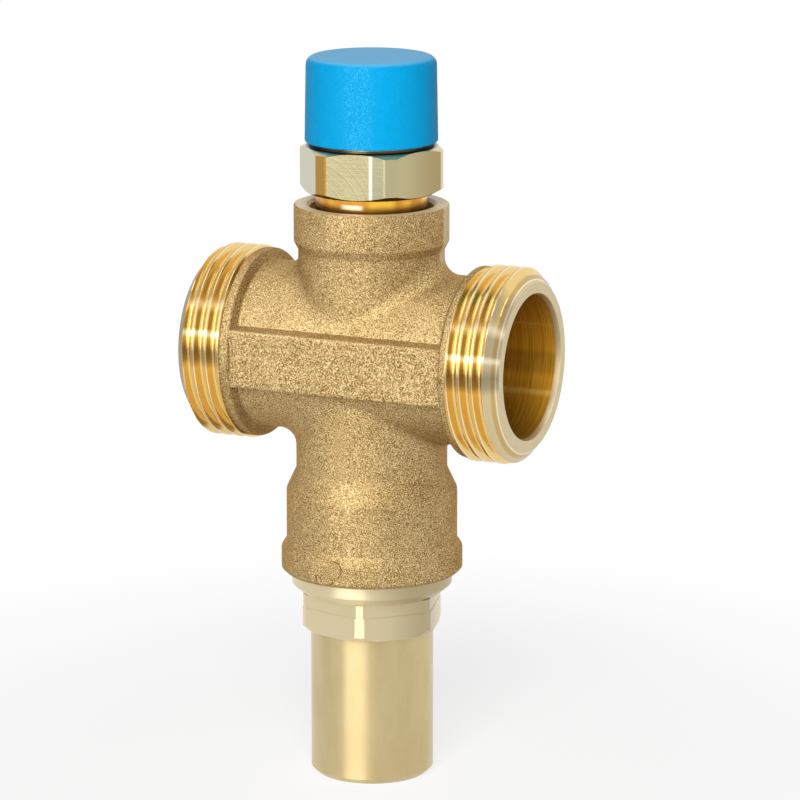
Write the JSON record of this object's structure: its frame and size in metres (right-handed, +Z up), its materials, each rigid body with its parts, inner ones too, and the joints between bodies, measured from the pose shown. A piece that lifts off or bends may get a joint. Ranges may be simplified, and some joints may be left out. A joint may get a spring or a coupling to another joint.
{
  "type": "anti-freeze valve",
  "caption": "Cast brass cross valve that drains a heat-pump circuit before it freezes: male pipe ports, a capped vacuum breaker on top and a thermostatic drain with a plain tail below.",
  "frame": {"origin": "centre of the drain tail's foot", "axes": "+Z up the valve's axis to the cap, +X along the pipe, the flat pad on the casting faces -Y"},
  "size_m": [0.0588, 0.033, 0.1235],
  "materials": {
    "cast_brass": "sand-blasted casting, machined threads and faces",
    "machined_brass": "turned, fine satin",
    "cap_plastic": "fine moulded grain",
    "seal_rubber": "moulded",
    "spring_steel": "drawn wire",
    "cage_plastic": "moulded",
    "guide_plastic": "moulded",
    "wax": "cast"
  },
  "bodies": {
    "body": {"valve_body": "cast_brass", "vent_body": "machined_brass", "vent_body_seal": "seal_rubber", "vent_guide": "guide_plastic", "vent_spring": "spring_steel", "drain_tail": "machined_brass", "drain_tail_seal": "seal_rubber", "return_spring": "spring_steel", "element_cage": "cage_plastic", "overtravel_spring": "spring_steel", "spring_retainer": "spring_steel"},
    "cap": {"vent_cap": "cap_plastic"},
    "poppet": {"vent_poppet": "machined_brass", "vent_poppet_seal": "seal_rubber", "vent_stem_clip": "spring_steel"},
    "plug": {"drain_plug": "machined_brass", "drain_plug_seal": "seal_rubber", "plug_guide": "machined_brass", "element_piston": "spring_steel"},
    "element": {"element_cup": "machined_brass", "element_guide": "machined_brass", "element_boot": "seal_rubber", "wax_charge": "wax"}
  },
  "joints": [
    {"name": "cap_lift", "type": "slide", "parent": "body", "child": "cap", "axis": [0, 0, 1], "range_m": [0, 0.015]},
    {"name": "poppet_drop", "type": "slide", "parent": "body", "child": "poppet", "axis": [0, 0, -1], "range_m": [0, 0.003], "stiffness_N_per_m": 150, "springref_m": -0.003, "deforming": ["vent_spring"]},
    {"name": "plug_lift", "type": "slide", "parent": "body", "child": "plug", "axis": [0, 0, 1], "range_m": [0, 0.0025], "deforming": ["return_spring"]},
    {"name": "element_overtravel", "type": "slide", "parent": "body", "child": "element", "axis": [0, 0, 1], "range_m": [0, 0.002], "stiffness_N_per_m": 1100, "springref_m": -0.006, "deforming": ["overtravel_spring"]}
  ]
}
